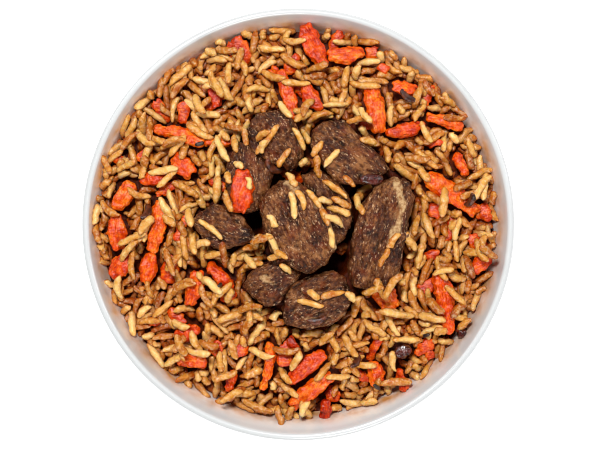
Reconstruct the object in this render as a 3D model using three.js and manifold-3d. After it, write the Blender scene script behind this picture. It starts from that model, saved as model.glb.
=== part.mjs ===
// Bowl of pilaf: a white bowl heaped with rice, carrot strips and browned beef.
// Millimetres, +Z up. The origin is on the table, at the centre of the bowl's foot.

import * as THREE from "three";
import { mergeVertices } from "three/addons/utils/BufferGeometryUtils.js";
import Module from "manifold-3d";

// ---------------------------------------------------------------- driving dimensions

const GAP = 0.3; // between pieces that touch
const MERGE = 1e-4; // vertices nearer than this are one

// Bowl
const RIM_RADIUS = 75;
const RIM_HEIGHT = 56;
const FOOT_RADIUS = 31;
const FOOT_WIDTH = 4;
const FOOT_RECESS = 2.5;
const BELLY_START = 4; // height at which the foot turns into the belly
const BELLY_PULL = [57, 5.5]; // curve handles of the belly, as radius and height
const SHOULDER_PULL = [66.5, 33];
const WALL_AT_FOOT = 4;
const WALL_AT_LIP = 2.5;
const BOWL_SIDES = 48;
const BOWL_ROWS = 6;

// Rice heap: the bare core, which the grains then stand on
const HEAP_EDGE = 48.4; // mean height at which the heap meets the wall
const HEAP_LEAN_X = -0.9; // the heap is fuller at the left
const HEAP_LEAN_Y = 1.5; // and at the back
const HEAP_SWELL = 1.9; // and at both sides
const HEAP_RISE = 10.5; // from its edge to its middle
const HEAP_CURVE = 0.85;
const HEAP_WAVE = 0.5;
const HEAP_SIDES = 24;
const HEAP_RINGS = 4;

// Grains, each a ridge with two flanks
const GRAIN_LENGTH = 9.2;
const SHORT_GRAIN = 5.5; // where others leave room for no more
const GRAIN_WIDTH = 2.7;
const GRAIN_RADIUS = 0.7 * GRAIN_WIDTH; // of the circle round its three-sided section
const GRAIN_SIDES = 3;
const GRAIN_SEED = 7;
const GRAIN_DRAWS = 16000; // places tried for a grain, most of which are taken
const GRAIN_ROOM = 2.85; // between the axes of two grains
const GRAIN_SINK = 0.1; // height of its axis over the core
const GRAIN_TILT = 0.4; // either end higher or lower than that
const BEEF_SLOPE = 1.4; // how far what lies on the beef rises or falls from its middle

// Beef: each block's outline from above, how far its top stands over the rice at its middle,
// and how much the top rises for each millimetre along x and y
const BEEF_PROFILE = [
  // share of the outline, share of the height
  [0.92, 0],
  [1, 0.5],
  [0.98, 0.86],
  [0.86, 1],
];
const BEEF_CROWN = 1; // the middle of the top, over its edge
const BEEF_UNEVEN = 0.9; // corners of the top higher or lower than that
const BEEF = {
  centre: {
    outline: [
      [-11.5, -2.5], [-8.5, -9.5], [-2.5, -14.5], [3.5, -17], [9.5, -13.5], [13, -7.5],
      [10.5, 1.5], [6, 9.5], [0.5, 14], [-5.5, 15], [-11, 11], [-13, 6],
    ],
    top: 12.5,
    tilt: [0.04, 0.05],
  },
  right: {
    outline: [
      [18.5, -5.5], [17.5, -16], [19, -21], [25, -22.5], [31, -21.5], [34.5, -16.5],
      [36.5, -5], [38, 3], [39.5, 9.5], [38, 14.5], [33, 16], [28, 14], [22, 6.5],
    ],
    top: 10.5,
    tilt: [0.12, 0.02],
  },
  top_right: {
    outline: [
      [5, 26], [8, 21], [13, 14.5], [18.5, 13.5], [25.5, 15], [31.5, 18.5],
      [28, 23.5], [22, 29], [15.5, 35.5], [8.5, 35], [5, 32],
    ],
    top: 10,
    tilt: [-0.04, -0.06],
  },
  top_left: {
    outline: [
      [-16.5, 27], [-13, 23], [-6.5, 20], [-1, 19], [1.5, 23.5], [0.5, 30.5],
      [-2, 36], [-6.5, 39], [-14.5, 38], [-17, 33],
    ],
    top: 8.5,
    tilt: [0, -0.08],
  },
  bottom: {
    outline: [
      [-4, -34.5], [3.5, -36], [11.5, -34.5], [16, -31], [18.5, -25], [16, -18.5],
      [11.5, -16], [2, -19], [-3, -21.5], [-5.5, -28.5],
    ],
    top: 8.5,
    tilt: [0.02, 0.14],
  },
  left_upper: {
    outline: [
      [-24.5, 14], [-23.5, 6.5], [-18.5, 3.5], [-13.5, 5.5], [-10.5, 12],
      [-8.5, 18], [-12, 23], [-17, 27.5], [-21, 28], [-24, 21],
    ],
    top: 8,
    tilt: [-0.1, -0.05],
  },
  left: {
    outline: [
      [-37, 1], [-32, -6], [-26.5, -9], [-20, -7], [-14.5, -5],
      [-19, 2.5], [-24, 5.5], [-29.5, 6.5], [-33.5, 4],
    ],
    top: 7.5,
    tilt: [0.05, 0.05],
  },
  lower_left: {
    outline: [
      [-18.5, -21], [-16, -24.5], [-11, -28], [-7, -27.5], [-2.5, -21],
      [1, -17], [-5.5, -13], [-12, -14], [-16, -16.5],
    ],
    top: 7.5,
    tilt: [0.1, 0.1],
  },
  behind: {
    outline: [
      [3, 10], [7, 3], [11, -7.5], [15.5, -5.5], [18.5, 1],
      [18, 7.5], [14, 14], [7, 18.5], [1.5, 16.5],
    ],
    top: 7.5,
    tilt: [-0.1, 0],
  },
};

// Grains that lie on the beef: which piece, plan centre and yaw in degrees
const GRAINS_ON_BEEF = [
  ["centre", -2.2, 5.4, -80],
  ["centre", 0.3, 7.4, -62],
  ["centre", -8.7, 0.7, -52],
  ["centre", -5, -12, 12],
  ["behind", 13.3, 11.4, -36],
  ["behind", 14.3, 4.8, -34],
  ["right", 29.6, -5.6, 62],
  ["right", 35, -5.2, 46],
  ["bottom", 4.4, -24.2, -40],
  ["bottom", 12.8, -24, 12],
  ["bottom", 2.8, -30.6, -14],
  ["top_left", -9.6, 31.2, -15],
  ["top_left", -4.4, 22, -60],
  ["top_right", 7.8, 28.4, 52],
  ["top_right", 13, 22, 45],
  ["left", -30, -1.6, -40],
];

// Carrot strips: plan centre, length, width and yaw in degrees
const CARROT_THICKNESS = 3; // but less than this share of the width
const CARROT_FLATNESS = 0.8;
const CARROT_STEP = 5;
const CARROT_NARROWING = 0.45; // share of the width lost at the ends
const CARROT_THINNING = 0.25; // share of the thickness lost there
const CARROT_TOP = 0.8; // its upper face is narrower by this
const CARROT_BEND = 0.06; // of its length
const CARROTS = {
  top: [
    [5.5, 62.9, 15.3, 6.6, -65],
    [16.6, 59.4, 11.1, 5.4, 5],
    [-3.2, 44.5, 17.4, 4.9, -72],
    [4.8, 44.2, 9.4, 4.9, -58],
    [26.7, 39.9, 14.6, 5.9, 100],
    [36.7, 47.3, 7.6, 5.2, -10],
    [37.4, 33.2, 13.5, 3.8, 12],
    [50.9, 35.8, 12.4, 3.6, -16],
    [-29.2, 44.2, 7.6, 4, -75],
  ],
  right: [
    [53.4, 10.1, 20.8, 6.6, -35],
    [50.3, -27.4, 20.8, 5.9, -80],
    [64, -13.8, 6.6, 5, 40],
    [30.1, -25.6, 9, 7.6, -50],
    [56.9, 20.6, 7.6, 2.8, -65],
  ],
  left: [
    [-41.5, 30.6, 17.4, 3.8, -17],
    [-27.2, 28.4, 9.6, 3.2, 3],
    [-40, 20.6, 8.3, 6.6, -45],
    [-50.2, 15.4, 8, 4.2, -5],
    [-60.5, 9.8, 9.7, 6.4, 60],
    [-62.9, -2.7, 11.4, 6.6, -85],
    [-61.9, -14.5, 9, 6, 50],
    [-49.4, -0.6, 17.6, 5.2, 81],
    [-52.2, -15.6, 10, 5.2, 75],
    [-36.2, -22.2, 11.8, 5.6, 75],
    [-26.5, -18.3, 11.2, 3.8, -40],
  ],
  bottom: [
    [-38.6, -37.8, 7.6, 5.2, 25],
    [-37.2, -47.8, 9, 4.5, -5],
    [-23.7, -55.1, 7.6, 3.2, 75],
    [-11.2, -49.6, 16.7, 2.9, 80],
    [-1.5, -42.4, 6.9, 3, -60],
    [2.6, -50, 15.4, 4.9, 38],
    [4.8, -58.3, 17.4, 5.4, 38],
    [27, -52.4, 7.6, 5.2, -80],
    [36.7, -55.8, 9.7, 3.5, -75],
    [9.6, -65.2, 5.9, 3.2, 85],
  ],
};
const CARROT_ON_BEEF = [-19.6, 11.2, 13.6, 7.6, 86];

// Crumbs of carrot, fused to the rice: plan centre, size and yaw in degrees
const CRUMB_THICKNESS = 3.4;
const CRUMB_DEPTH = 0.5; // of that in the rice
const CRUMBS = [
  [-17.8, 52.5, 5.6, 3, 5],
  [-33.1, 59.1, 4.9, 3, 20],
  [46.8, -9.7, 4.4, 2.6, 60],
  [-65, 12.6, 4.9, 3.6, 30],
  [-43.1, 4.2, 5, 3, -20],
  [-25.4, -28.4, 4.4, 3.6, 15],
  [-56.3, -27.7, 4.4, 3, 40],
  [-13.6, -33.6, 4.9, 3.4, -10],
  [-15.3, -60.3, 3.6, 3, 0],
  [-4.9, -38.6, 4.9, 2.8, 60],
  [14.5, -60.6, 6.2, 2.6, 12],
  [23, -59.6, 5, 2.4, -10],
  [-22, -39.9, 3.8, 3, 35],
];

// Dried berries: plan centre, length, width and yaw in degrees
const BERRIES = [
  [36.4, -44.4, 6.9, 5, 20],
  [57.5, -38, 6, 4.4, -40],
];

// ---------------------------------------------------------------- solids

const wasm = await Module();
wasm.setup();

function closedGeometry(geometry) {
  const bare = geometry.clone();
  bare.deleteAttribute("normal");
  bare.deleteAttribute("uv");
  const merged = mergeVertices(bare, MERGE);
  const index = Array.from(merged.index.array);
  const kept = [];
  for (let i = 0; i < index.length; i += 3) {
    const [a, b, c] = index.slice(i, i + 3);
    if (a !== b && b !== c && c !== a) {
      kept.push(a, b, c);
    }
  }
  merged.setIndex(kept);
  return merged;
}

function solidOf(geometry) {
  const closed = closedGeometry(geometry);
  const mesh = new wasm.Mesh({
    numProp: 3,
    vertProperties: new Float32Array(closed.attributes.position.array),
    triVerts: new Uint32Array(closed.index.array),
  });
  return new wasm.Manifold(mesh);
}

function geometryOf(solid) {
  const mesh = solid.getMesh();
  const geometry = new THREE.BufferGeometry();
  geometry.setAttribute("position", new THREE.BufferAttribute(mesh.vertProperties, 3));
  geometry.setIndex(new THREE.BufferAttribute(mesh.triVerts, 1));
  return geometry;
}

// Joins solids two by two, which keeps each join small.
function joined(solids) {
  if (solids.length === 1) {
    return solids[0];
  }
  const half = Math.ceil(solids.length / 2);
  return joined(solids.slice(0, half)).add(joined(solids.slice(half)));
}

// The one largest body: loose scraps go, and a hollow that joining sealed is filled.
function largestBody(solid) {
  const bodies = solid.decompose();
  return bodies.reduce((best, body) => (body.volume() > best.volume() ? body : best));
}

function moveVertices(geometry, move) {
  const place = geometry.attributes.position;
  const point = new THREE.Vector3();
  for (let i = 0; i < place.count; i++) {
    point.fromBufferAttribute(place, i);
    move(point);
    place.setXYZ(i, point.x, point.y, point.z);
  }
  return geometry;
}

function turnedAndPlaced(point, x, y, yawDegrees) {
  point.applyAxisAngle(new THREE.Vector3(0, 0, 1), THREE.MathUtils.degToRad(yawDegrees));
  point.x += x;
  point.y += y;
}

// ---------------------------------------------------------------- bowl

const belly = new THREE.CubicBezierCurve(
  new THREE.Vector2(FOOT_RADIUS + 1, BELLY_START),
  new THREE.Vector2(...BELLY_PULL),
  new THREE.Vector2(...SHOULDER_PULL),
  new THREE.Vector2(RIM_RADIUS, RIM_HEIGHT - WALL_AT_LIP / 2),
);

// Points along the inner side of the wall, from the floor to just under the lip.
function innerWall(extra) {
  const points = [];
  for (let i = 0; i <= BOWL_ROWS; i++) {
    const t = i / BOWL_ROWS;
    const tangent = belly.getTangent(t);
    const inwards = new THREE.Vector2(-tangent.y, tangent.x);
    const thickness = THREE.MathUtils.lerp(WALL_AT_FOOT, WALL_AT_LIP, t) + extra;
    points.push(belly.getPoint(t).addScaledVector(inwards, thickness));
  }
  return points;
}

function bowlProfile() {
  const outer = [];
  for (let i = 0; i <= BOWL_ROWS; i++) {
    outer.push(belly.getPoint(i / BOWL_ROWS));
  }
  const inner = innerWall(0).reverse();
  const lipMiddle = outer.at(-1).clone().add(inner[0]).multiplyScalar(0.5);
  const half = WALL_AT_LIP / 2;
  const lip = [35, 90, 145].map((degrees) => {
    const angle = THREE.MathUtils.degToRad(degrees);
    return new THREE.Vector2(lipMiddle.x + half * Math.cos(angle), lipMiddle.y + half * Math.sin(angle));
  });
  const floor = inner.at(-1).y;
  return [
    new THREE.Vector2(0, FOOT_RECESS),
    new THREE.Vector2(FOOT_RADIUS - FOOT_WIDTH - 1, FOOT_RECESS),
    new THREE.Vector2(FOOT_RADIUS - FOOT_WIDTH, 0),
    new THREE.Vector2(FOOT_RADIUS, 0),
    ...outer,
    ...lip,
    ...inner,
    new THREE.Vector2(0, floor),
  ];
}

function bowlGeometry() {
  const geometry = new THREE.LatheGeometry(bowlProfile(), BOWL_SIDES);
  return closedGeometry(geometry.rotateX(Math.PI / 2));
}

// ---------------------------------------------------------------- rice core

function wallRadiusAt(height) {
  const wall = innerWall(GAP);
  const above = Math.max(1, wall.findIndex((point) => point.y > height));
  const [low, high] = [wall[above - 1], wall[above]];
  return THREE.MathUtils.mapLinear(height, low.y, high.y, low.x, high.x);
}

function edgeHeight(angle) {
  const lean = HEAP_LEAN_X * Math.cos(angle) + HEAP_LEAN_Y * Math.sin(angle);
  return HEAP_EDGE + lean + HEAP_SWELL * Math.cos(2 * angle);
}

function heapHeight(x, y) {
  const angle = Math.atan2(y, x);
  const edge = edgeHeight(angle);
  const share = Math.min(1, Math.hypot(x, y) / wallRadiusAt(edge));
  const inside = 1 - share * share;
  const level = HEAP_EDGE + (edge - HEAP_EDGE) * share * share;
  const wave = HEAP_WAVE * inside * Math.sin(x / 9 + 1) * Math.cos(y / 11);
  return level + HEAP_RISE * inside ** HEAP_CURVE + wave;
}

// The profile's upper points start above the rim, and are then let down onto the heap.
function coreGeometry() {
  const wall = innerWall(GAP).slice(0, -1);
  const upper = [];
  for (let i = 0; i <= HEAP_RINGS; i++) {
    upper.push(new THREE.Vector2(1 - i / HEAP_RINGS, RIM_HEIGHT + 1));
  }
  const profile = [new THREE.Vector2(0, wall[0].y), ...wall, ...upper];
  const geometry = new THREE.LatheGeometry(profile, HEAP_SIDES).rotateX(Math.PI / 2);
  return moveVertices(geometry, (point) => {
    if (point.z > RIM_HEIGHT) {
      const reach = wallRadiusAt(edgeHeight(Math.atan2(point.y, point.x)));
      point.x *= reach;
      point.y *= reach;
      point.z = heapHeight(point.x, point.y);
    }
  });
}

// ---------------------------------------------------------------- toppings

// All the room over the floor of the bowl, which toppings stay inside.
function roomGeometry() {
  const wall = innerWall(GAP);
  const top = 2 * RIM_HEIGHT;
  const profile = [new THREE.Vector2(0, wall[0].y), ...wall];
  profile.push(new THREE.Vector2(RIM_RADIUS, top), new THREE.Vector2(0, top));
  return new THREE.LatheGeometry(profile, BOWL_SIDES).rotateX(Math.PI / 2);
}

// A rough block that stands on the rice. Grown, it is larger all round by that much.
function beefGeometry({ outline, top, tilt }, grow) {
  const middle = new THREE.Vector2();
  outline.forEach(([x, y]) => middle.add(new THREE.Vector2(x, y).divideScalar(outline.length)));
  const ground = (x, y) => heapHeight(x, y) + GAP;
  const topHeight = heapHeight(middle.x, middle.y) + top + grow;
  const places = [middle.x, middle.y, ground(middle.x, middle.y)];
  for (const [share, level] of BEEF_PROFILE) {
    for (const [x, y] of outline) {
      const out = new THREE.Vector2(x, y).sub(middle);
      const slope = out.dot(new THREE.Vector2(...tilt)) + BEEF_UNEVEN * Math.sin(x + 2 * y);
      const corner = out.setLength(share * out.length() + grow).add(middle);
      const height = THREE.MathUtils.lerp(ground(corner.x, corner.y), topHeight + slope, level);
      places.push(corner.x, corner.y, height);
    }
  }
  places.push(middle.x, middle.y, topHeight + BEEF_CROWN);
  const geometry = new THREE.BufferGeometry();
  geometry.setAttribute("position", new THREE.Float32BufferAttribute(places, 3));
  geometry.setIndex(ringFaces(outline.length, BEEF_PROFILE.length));
  return geometry;
}

// Faces of a stack of rings between a first and a last point.
function ringFaces(sides, rings) {
  const index = [];
  const last = 1 + rings * sides;
  for (let i = 0; i < sides; i++) {
    const after = (i + 1) % sides;
    index.push(0, 1 + after, 1 + i);
    for (let low = 1; low + sides < last; low += sides) {
      index.push(low + i, low + after, low + sides + after);
      index.push(low + i, low + sides + after, low + sides + i);
    }
    index.push(last - sides + i, last - sides + after, last);
  }
  return index;
}

// A strip laid on what is under it, narrower towards its ends.
function stripGeometry([x, y, length, width, yaw], thickness, heightAt, grow) {
  const steps = Math.max(2, Math.round(length / CARROT_STEP));
  const geometry = closedGeometry(new THREE.BoxGeometry(1, 1, 1, steps, 1, 1));
  return moveVertices(geometry, (point) => {
    const along = 2 * point.x;
    const upper = point.z > 0;
    const keep = (1 - CARROT_NARROWING * along ** 2) * (upper ? CARROT_TOP : 1);
    const lean = CARROT_BEND * length * Math.cos((along * Math.PI) / 2) * Math.sin(yaw);
    point.set(point.x * (length + 2 * grow), point.y * (width + 2 * grow) * keep + lean, 0);
    turnedAndPlaced(point, x, y, yaw);
    const rise = upper ? thickness * (1 - CARROT_THINNING * along ** 2) + grow : -grow;
    point.z = heightAt(point.x, point.y) + GAP + rise;
  });
}

function berryGeometry([x, y, length, width, yaw], grow) {
  const geometry = closedGeometry(new THREE.IcosahedronGeometry(1, 1));
  return moveVertices(geometry, (point) => {
    point.multiply(new THREE.Vector3(length / 2 + grow, width / 2 + grow, width / 2 + grow));
    turnedAndPlaced(point, x, y, yaw);
    const middle = heapHeight(x, y) + width / 4;
    point.z = Math.max(point.z + middle, heapHeight(point.x, point.y) + GAP);
  });
}

// ---------------------------------------------------------------- grains

function seededRandom(seed) {
  let state = seed;
  return () => {
    state = (state * 1664525 + 1013904223) % 4294967296;
    return state / 4294967296;
  };
}

// A grain round an axis between two points, with its ridge up.
function grainSolid(axis) {
  const geometry = new THREE.CapsuleGeometry(GRAIN_RADIUS, axis.distance(), 1, GRAIN_SIDES);
  const along = axis.delta(new THREE.Vector3()).normalize();
  const side = new THREE.Vector3(0, 0, 1).cross(along).normalize();
  const down = side.clone().cross(along);
  geometry.applyMatrix4(new THREE.Matrix4().makeBasis(down, along, down.clone().cross(along)));
  geometry.translate(...axis.getCenter(new THREE.Vector3()));
  return solidOf(geometry);
}

// The axis of a grain that lies on a surface, with its ends as high as the surface there.
function grainAxis(x, y, yaw, length, heightAt) {
  const reach = length / 2 - GRAIN_RADIUS;
  const ends = [-reach, reach].map((along) => {
    const endX = x + along * Math.cos(yaw);
    const endY = y + along * Math.sin(yaw);
    return new THREE.Vector3(endX, endY, heightAt(endX, endY) + GRAIN_SINK);
  });
  return new THREE.Line3(...ends);
}

function clearOfWall(axis) {
  return [axis.start, axis.end].every((end) => {
    const limit = wallRadiusAt(end.z - GRAIN_WIDTH / 2) - GRAIN_WIDTH;
    return Math.hypot(end.x, end.y) < limit;
  });
}

// Draws places for grains, and keeps each that is clear of the grains so far, the wall and the toppings.
function grainsOver(toppings) {
  const random = seededRandom(GRAIN_SEED);
  const axes = [];
  const grains = [];
  for (let i = 0; i < GRAIN_DRAWS; i++) {
    const radius = RIM_RADIUS * Math.sqrt(random());
    const turn = 2 * Math.PI * random();
    const yaw = 2 * Math.PI * random();
    const length = THREE.MathUtils.lerp(GRAIN_LENGTH, SHORT_GRAIN, i / GRAIN_DRAWS);
    const heightAt = (x, y) => heapHeight(x, y) + GRAIN_TILT * (2 * random() - 1);
    const axis = grainAxis(radius * Math.cos(turn), radius * Math.sin(turn), yaw, length, heightAt);
    const apart = axes.every((other) => axis.distanceSqToLine3(other) > GRAIN_ROOM ** 2);
    if (apart && clearOfWall(axis)) {
      const grain = grainSolid(axis);
      if (grain.intersect(toppings).isEmpty()) {
        axes.push(axis);
        grains.push(grain);
      }
    }
  }
  return grains;
}

// The height of a solid's upper side, found by a ray from above.
function topOf(mesh, x, y) {
  const ray = new THREE.Raycaster(new THREE.Vector3(x, y, 200), new THREE.Vector3(0, 0, -1));
  const hit = ray.intersectObject(mesh)[0];
  return hit ? hit.point.z : heapHeight(x, y);
}

// Heights over a piece, kept near the height in the middle of what lies there.
function levelOn(mesh, x, y) {
  const middle = topOf(mesh, x, y);
  return (otherX, otherY) => {
    const height = topOf(mesh, otherX, otherY);
    return THREE.MathUtils.clamp(height, middle - BEEF_SLOPE, middle + BEEF_SLOPE);
  };
}

function grainLyingOn(mesh, x, y, yawDegrees) {
  const yaw = THREE.MathUtils.degToRad(yawDegrees);
  return grainSolid(grainAxis(x, y, yaw, GRAIN_LENGTH, levelOn(mesh, x, y)));
}

// ---------------------------------------------------------------- materials

function material(color, roughness) {
  return new THREE.MeshStandardMaterial({ color, roughness, flatShading: true });
}

const glaze = () => material(0xefefef, 0.2);
const riceMaterial = () => material(0xd09a56, 0.45);
const beefMaterial = () => material(0x5a3f2c, 0.4);
const carrotMaterial = () => material(0xdc5217, 0.35);
const berryMaterial = () => material(0x4a1408, 0.3);

// ---------------------------------------------------------------- the whole

const group = new THREE.Group();

function addPiece(name, geometry, finish) {
  const mesh = new THREE.Mesh(geometry, finish);
  mesh.name = name;
  group.add(mesh);
  return mesh;
}

const core = solidOf(coreGeometry());
const liftedCore = core.translate([0, 0, GAP]);
const bowlRoom = solidOf(roomGeometry());
const rooms = new Map(); // what each topping so far keeps free for itself

function clearOfOthers(solid, name) {
  const others = [...rooms].filter(([other, room]) => other !== name && !room.intersect(solid).isEmpty());
  return others.length ? solid.subtract(joined(others.map(([, room]) => room))) : solid;
}

// Fits a topping into the bowl and to the toppings before it.
function fitTopping(name, geometry, grownGeometry) {
  const solid = clearOfOthers(solidOf(geometry).intersect(bowlRoom), name);
  rooms.set(name, solidOf(grownGeometry));
  return largestBody(solid);
}

function fitBeef() {
  const solids = {};
  for (const [place, piece] of Object.entries(BEEF)) {
    solids[place] = fitTopping(place, beefGeometry(piece, 0), beefGeometry(piece, GAP));
  }
  return solids;
}

function addCarrot(name, strip, heightAt) {
  const thickness = Math.min(CARROT_THICKNESS, CARROT_FLATNESS * strip[3]);
  const shape = stripGeometry(strip, thickness, heightAt, 0);
  const room = stripGeometry(strip, thickness, heightAt, GAP);
  addPiece(name, geometryOf(fitTopping(name, shape, room)), carrotMaterial());
}

function addBerry(name, berry) {
  const solid = fitTopping(name, berryGeometry(berry, 0), berryGeometry(berry, GAP));
  addPiece(name, geometryOf(solid), berryMaterial());
}

// A piece of beef with the grains that lie on it.
function addBeef(place, solid) {
  const bare = new THREE.Mesh(geometryOf(solid));
  let dressed = solid;
  for (const [, x, y, yaw] of GRAINS_ON_BEEF.filter(([on]) => on === place)) {
    const grain = clearOfOthers(grainLyingOn(bare, x, y, yaw).subtract(liftedCore), place);
    dressed = dressed.add(grain);
    rooms.set(place, rooms.get(place).add(grain));
  }
  addPiece(`beef_${place}`, geometryOf(largestBody(dressed)), beefMaterial());
}

function addRice() {
  const toppings = joined([...rooms.values()]);
  const buried = (x, y) => heapHeight(x, y) - GAP - CRUMB_DEPTH;
  const crumbs = CRUMBS.map((crumb) =>
    solidOf(stripGeometry(crumb, CRUMB_THICKNESS, buried, 0)).subtract(toppings),
  );
  const rice = joined([core, ...crumbs, ...grainsOver(toppings)]);
  addPiece("rice", geometryOf(largestBody(rice)), riceMaterial());
}

addPiece("bowl", bowlGeometry(), glaze());

const beef = fitBeef();
for (const [side, strips] of Object.entries(CARROTS)) {
  strips.forEach((strip, i) => addCarrot(`carrot_${side}_${i + 1}`, strip, heapHeight));
}
const underCarrot = new THREE.Mesh(geometryOf(beef.left_upper));
addCarrot("carrot_on_beef", CARROT_ON_BEEF, levelOn(underCarrot, ...CARROT_ON_BEEF));
BERRIES.forEach((berry, i) => addBerry(`berry_${i + 1}`, berry));
Object.entries(beef).forEach(([place, solid]) => addBeef(place, solid));
addRice();

export default group;
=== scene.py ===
import itertools
import math

import bpy
import numpy as np
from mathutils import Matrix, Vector
from mathutils.bvhtree import BVHTree


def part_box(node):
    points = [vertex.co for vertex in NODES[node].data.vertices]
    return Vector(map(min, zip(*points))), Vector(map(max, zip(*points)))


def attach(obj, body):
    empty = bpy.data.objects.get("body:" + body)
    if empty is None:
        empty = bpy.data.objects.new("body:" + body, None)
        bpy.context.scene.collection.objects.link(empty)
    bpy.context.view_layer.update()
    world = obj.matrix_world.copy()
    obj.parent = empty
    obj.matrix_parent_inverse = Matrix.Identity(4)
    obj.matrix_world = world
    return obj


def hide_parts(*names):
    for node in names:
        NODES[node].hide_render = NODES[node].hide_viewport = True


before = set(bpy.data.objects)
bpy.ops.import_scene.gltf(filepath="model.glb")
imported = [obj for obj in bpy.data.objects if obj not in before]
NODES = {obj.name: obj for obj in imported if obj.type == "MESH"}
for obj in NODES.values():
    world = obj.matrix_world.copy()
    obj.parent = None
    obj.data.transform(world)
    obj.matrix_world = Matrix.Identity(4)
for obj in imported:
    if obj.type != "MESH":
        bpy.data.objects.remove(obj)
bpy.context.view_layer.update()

# Everything below is worked out in millimetres, and goes into the meshes in metres.
MM = 0.001

# ------------------------------------------------------------------ sizes from the frame

bowl_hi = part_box("bowl")[1]
RIM_RADIUS = bowl_hi.x / MM
RIM_HEIGHT = bowl_hi.z / MM

# The bowl's section, as in the CAD
FOOT_RADIUS = 31
FOOT_WIDTH = 4
FOOT_RECESS = 2.5
BELLY = [(32, 4), (57, 5.5), (66.5, 33), (75, 54.75)]
WALL_AT_FOOT = 4
WALL_AT_LIP = 2.5
BOWL_SIDES = 240

# Height map: the upper side of all that is in the bowl so far
CELL = 0.3
REACH = 78
SIDE = int(2 * REACH / CELL)

# The coarser map that finds the core: its step, how far it is filled outwards, and a grain in its steps
PROBE_STEP = 1.5
PROBE_FILLS = 60
GRAIN_IN_PROBES = 2

# One grain of rice: its size, how finely it is made, and how wide it is in cells of the height map
GRAIN_LENGTH = 9.6
GRAIN_RADIUS = 1.3
GRAIN_SIDES = 8
GRAIN_RINGS = 11
GRAIN_STATIONS = 9
GRAIN_CELLS = 5

# The loose rice: how deep it lies, how far it stands over the core, and how its grains sink and lean
LAYERS_DEEP = 4.2
CREST_OVER_CORE = 2.1
SINK = 0.6
STEEP_SHARE = 0.2
STEEPEST = 0.75

# The gaps between the grains are filled lower down with grains of this share of the length
SHORT_GRAINS_LOWER = 1.6
SHORT_GRAINS = 0.7

# The rice's solid makes room for the loose rice above this height
ROOM_ABOVE = 20

# How many places are tried for each grain, and how many misses in a row mean that the heap is full
DRAWS = 40
MISSES = 200
SHORT_MISSES = 120

# How many more grains there are on top and over the edges of the carrots
LOOSE_ON_TOP = 130
OVER_CARROTS = 60

# Carrot bits: how many, their least and most length, width and thickness, and how low they lie
CARROT_BITS = 42
BIT_SIZES = [(3.5, 9.5), (2.2, 4.6), (0.8, 1.4)]
BITS_LOWER = (0.2, 2.2)

# How far down the rice darkens, as painted shade deep in the heap and partly oil, and how much painted
# shade darkens a grain's sides to gold
OIL_AND_SHADE_DEPTH = 5.0
PAINTED_SIDE_SHADE = 0.6

# The brown on the wall over the level of the rice: painted shadow and bounced light from the rice, partly
# an oil film that the rice leaves
STAIN_AND_SHADE_FROM = 1.6
STAIN_AND_SHADE_HEIGHT = 6.0

# The hollow between the pieces of beef, where the rice lies deeper
HOLLOW_AT = (2.0, 3.0)
HOLLOW_RADIUS = 17
HOLLOW_DEPTH = 5

# Gaps between the pieces, with nothing in them: middle, half length, half width and direction
VOIDS = [
    (-15.2, 0.4, 6.5, 2.6, 75), (17.2, 3.0, 11.0, 2.2, 74), (12.4, -14.4, 6.0, 3.6, 40),
    (-1.0, 24.4, 4.6, 2.4, 80), (-17.0, 10.0, 3.4, 1.8, 20), (-3.0, -18.4, 4.0, 1.8, 40),
]
VOID_DEPTH = 9

# Grains that lie on or between the pieces of beef: middle, direction and length, in mm and degrees
GRAINS_ON_BEEF = [
    (-30.0, -1.7, -40, 10.8), (-1.8, 6.4, -80, 9.6), (0.9, 8.3, -68, 7.6), (-8.8, 1.1, -52, 5.4),
    (-2.2, 15.3, -50, 7.2), (-4.3, -15.2, -42, 6.2), (-8.6, -6.7, -62, 8.6), (5.4, 8.7, -54, 7.8),
    (9.0, 2.5, -66, 7.0), (11.4, -4.7, -80, 7.4), (12.7, 12.1, -36, 10.6), (9.1, 7.9, -8, 6.4),
    (14.8, 7.4, -28, 8.4), (13.9, 4.6, -22, 8.6), (12.2, 1.2, -33, 9.4), (6.5, 25.8, 58, 6.6),
    (11.4, 22.6, 48, 8.2), (-11.4, 27.9, 50, 10.2), (-9.4, 30.2, 58, 9.4), (-12.2, 30.4, 38, 6.8),
    (-11.8, 26.6, 66, 6.2), (-4.9, 22.8, 54, 7.8), (-18.2, 30.1, -80, 7.0), (0.4, 29.4, -62, 9.0),
    (2.6, 30.4, -62, 7.4), (1.8, 21.2, 40, 3.8), (-20.4, 20.2, -36, 4.8), (-24.0, 16.0, -82, 5.0),
    (-16.8, 14.0, -70, 4.6), (29.5, -11.4, 64, 7.4), (32.6, -5.6, 46, 6.6), (21.4, 9.9, -50, 3.4),
    (21.4, 5.1, -48, 4.4), (5.2, -24.2, -34, 5.2), (11.8, -24.2, 14, 8.8), (4.2, -27.2, -13, 9.6),
    (18.0, -24.8, -48, 5.4), (-15.6, -14.1, 14, 9.2), (-8.0, -11.2, 10, 6.4), (-5.8, -10.4, -22, 5.6),
    (-15.8, -8.0, 10, 8.8), (17.4, 14.6, -40, 5.6),
]

# Grains that stick to the wall, up to the lip
GRAINS_ON_WALL = [
    (-70.4, 3.4, 78, 7.4), (-70.0, -3.4, 100, 7.0), (-6.6, -67.0, 100, 7.6), (-3.0, -66.2, 60, 6.8),
    (-66.8, 20.6, 120, 7.0), (52.4, 43.0, -30, 6.4), (58.0, -34.8, 40, 6.8), (24.8, -62.4, 10, 6.6),
]

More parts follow.
